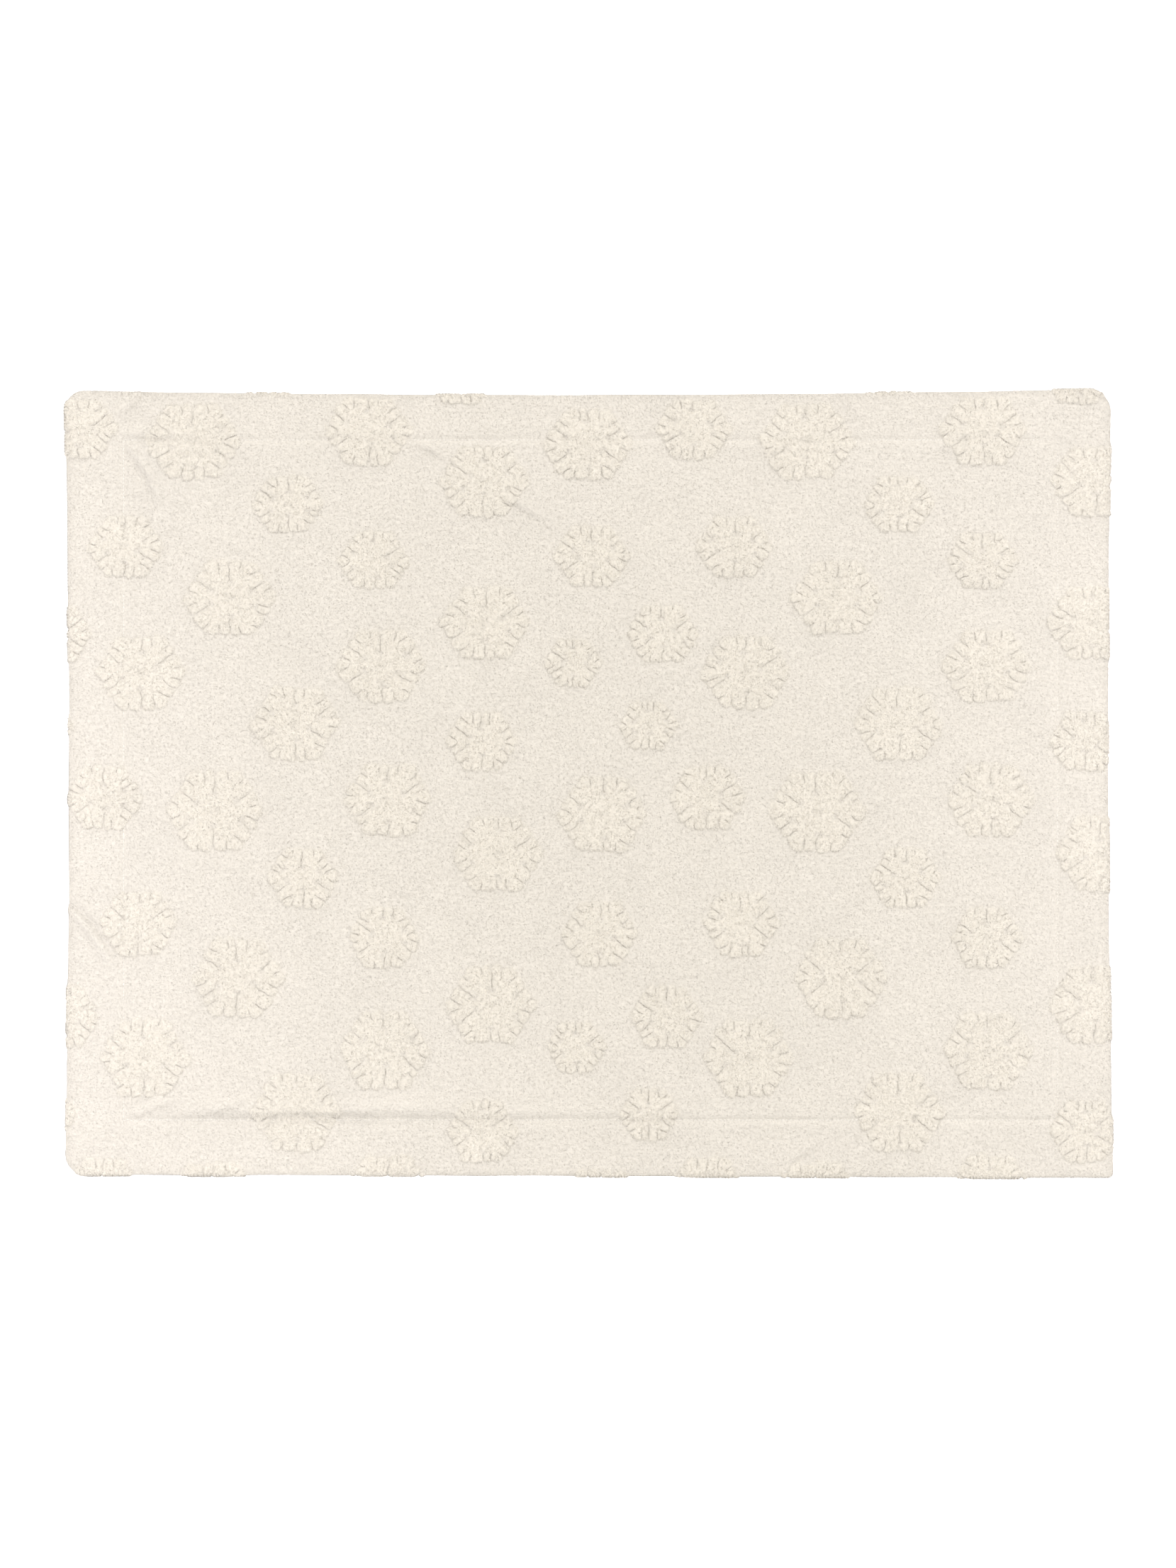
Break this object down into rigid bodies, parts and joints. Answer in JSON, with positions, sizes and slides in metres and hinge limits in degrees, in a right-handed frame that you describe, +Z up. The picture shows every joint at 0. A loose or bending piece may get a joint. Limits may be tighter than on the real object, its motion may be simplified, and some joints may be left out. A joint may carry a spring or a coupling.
{
  "type": "faux fur throw",
  "caption": "Rectangular cream plush throw lying flat, with a wide stitched hem all round and raised snowflakes in its longer pile.",
  "frame": {"origin": "middle of the throw on its flat underside, where it rests on the surface", "axes": "+X along the long sides, +Y along the short sides towards the top of the picture, +Z up out of the pile"},
  "size_m": [2.013, 1.5172, 0.012],
  "materials": {
    "cream_plush": "short soft cream pile, matt, with a faint sheen at grazing angles"
  },
  "bodies": {
    "root": {"throw": "cream_plush"}
  },
  "joints": []
}
